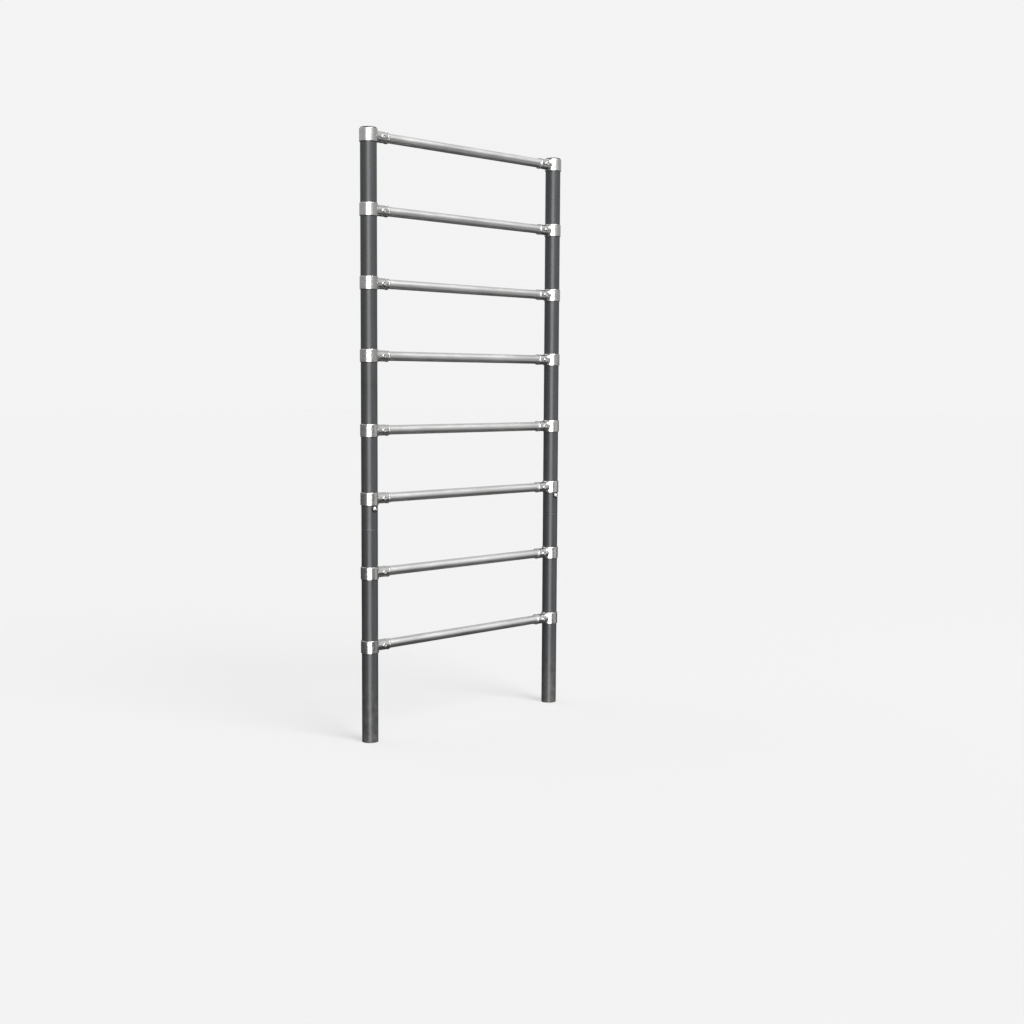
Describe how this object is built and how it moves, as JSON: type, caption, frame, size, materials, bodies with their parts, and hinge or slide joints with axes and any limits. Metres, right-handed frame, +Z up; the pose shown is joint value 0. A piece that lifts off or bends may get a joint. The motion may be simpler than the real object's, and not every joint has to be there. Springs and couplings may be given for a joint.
{
  "type": "climbing ladder",
  "caption": "Upright outdoor climbing ladder: in-ground round posts with level round rungs held in tee clamps.",
  "frame": {"origin": "at ground level, midway between the two post axes", "axes": "+Z up along the posts, +X along the rungs towards the right post, and -Y towards the side with the joint bolts and rung screws"},
  "size_m": [1.0262, 0.0735, 2.8355],
  "materials": {
    "post_paint": "satin powder coat",
    "rung_metal": "satin",
    "clamp_metal": "polished casting",
    "fastener_steel": "bright",
    "hidden_steel": "zinc plated",
    "cap_plastic": "moulded satin",
    "washer_plastic": "matt"
  },
  "bodies": {
    "root": {"post_upper_left": "post_paint", "post_lower_left": "post_paint", "post_joiner_left": "hidden_steel", "post_cap_left": "cap_plastic", "foot_plug_left": "cap_plastic", "joint_bolt_left": "fastener_steel", "joint_washer_left": "washer_plastic", "joint_nut_left": "hidden_steel", "rung_screws_left": "fastener_steel", "collar_screws_left": "fastener_steel", "clamp_left_1": "clamp_metal", "clamp_left_2": "clamp_metal", "clamp_left_3": "clamp_metal", "clamp_left_4": "clamp_metal", "clamp_left_5": "clamp_metal", "clamp_left_6": "clamp_metal", "clamp_left_7": "clamp_metal", "clamp_left_8": "clamp_metal", "post_upper_right": "post_paint", "post_lower_right": "post_paint", "post_joiner_right": "hidden_steel", "post_cap_right": "cap_plastic", "foot_plug_right": "cap_plastic", "joint_bolt_right": "fastener_steel", "joint_washer_right": "washer_plastic", "joint_nut_right": "hidden_steel", "rung_screws_right": "fastener_steel", "collar_screws_right": "fastener_steel", "clamp_right_1": "clamp_metal", "clamp_right_2": "clamp_metal", "clamp_right_3": "clamp_metal", "clamp_right_4": "clamp_metal", "clamp_right_5": "clamp_metal", "clamp_right_6": "clamp_metal", "clamp_right_7": "clamp_metal", "clamp_right_8": "clamp_metal", "rung_1": "rung_metal", "rung_2": "rung_metal", "rung_3": "rung_metal", "rung_4": "rung_metal", "rung_5": "rung_metal", "rung_6": "rung_metal", "rung_7": "rung_metal", "rung_8": "rung_metal"}
  },
  "joints": []
}
